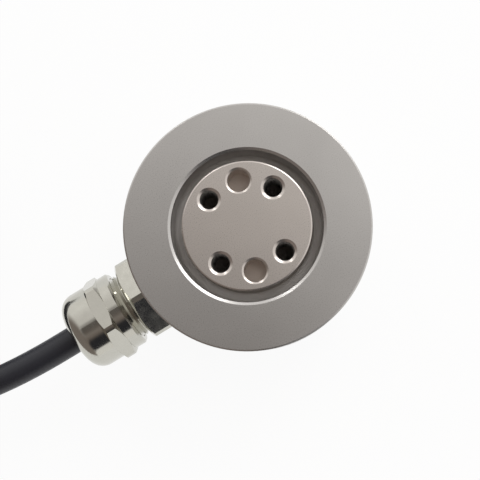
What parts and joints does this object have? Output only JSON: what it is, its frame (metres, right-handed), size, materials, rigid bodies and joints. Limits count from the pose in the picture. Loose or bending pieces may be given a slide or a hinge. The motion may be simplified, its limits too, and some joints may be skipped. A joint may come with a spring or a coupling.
{
  "type": "multi-axis load cell",
  "caption": "Round steel force sensor with a threaded loading hub set in an annular groove, a side cable gland and a free cable with bare cores.",
  "frame": {"origin": "centre of the round base, on the mounting face that the cell stands on", "axes": "+Z out of the loading face along the body's axis; +Y through one of the hub's two dowel holes; the gland points 20.8 degrees past -X towards -Y"},
  "size_m": [0.2428, 0.1479, 0.034],
  "materials": {
    "stainless_body": "fine turned and ground satin",
    "stainless_cover": "satin",
    "screw_steel": "plain",
    "nickel_brass": "nickel plated, polished",
    "black_rubber": "matte",
    "cage_plastic": "moulded nylon",
    "board_green": "solder mask",
    "component_black": "moulded",
    "gauge_foil": "polyimide film",
    "copper_wire": "enamelled",
    "cable_jacket": "satin polyurethane",
    "strap_fabric": "hook and loop tape",
    "sleeve_plastic": "shrink sleeve",
    "core_red": "wire insulation",
    "core_black": "wire insulation",
    "core_green": "wire insulation",
    "core_white": "wire insulation",
    "core_blue": "wire insulation",
    "core_yellow": "wire insulation",
    "core_brown": "wire insulation",
    "core_violet": "wire insulation",
    "tinned_copper": "tinned strands"
  },
  "bodies": {
    "root": {"sensing_body": "stainless_body", "cover_plate": "stainless_cover", "cover_gasket": "black_rubber", "cover_screws": "screw_steel", "circuit_board": "board_green", "board_screws": "screw_steel", "board_components": "component_black", "strain_gauges": "gauge_foil", "gauge_wires": "copper_wire", "inner_cores": "core_white", "gland_body": "nickel_brass", "gland_seal_ring": "black_rubber", "gland_clamp_cage": "cage_plastic", "gland_seal_insert": "black_rubber", "gland_cap_nut": "nickel_brass", "cable": "cable_jacket", "cable_coil": "cable_jacket", "coil_straps": "strap_fabric", "jacket_sleeve": "sleeve_plastic", "core_red": "core_red", "core_black": "core_black", "core_green": "core_green", "core_white": "core_white", "core_blue": "core_blue", "core_yellow": "core_yellow", "core_brown": "core_brown", "core_violet": "core_violet", "core_shield": "tinned_copper", "tinned_ends": "tinned_copper"}
  },
  "joints": []
}
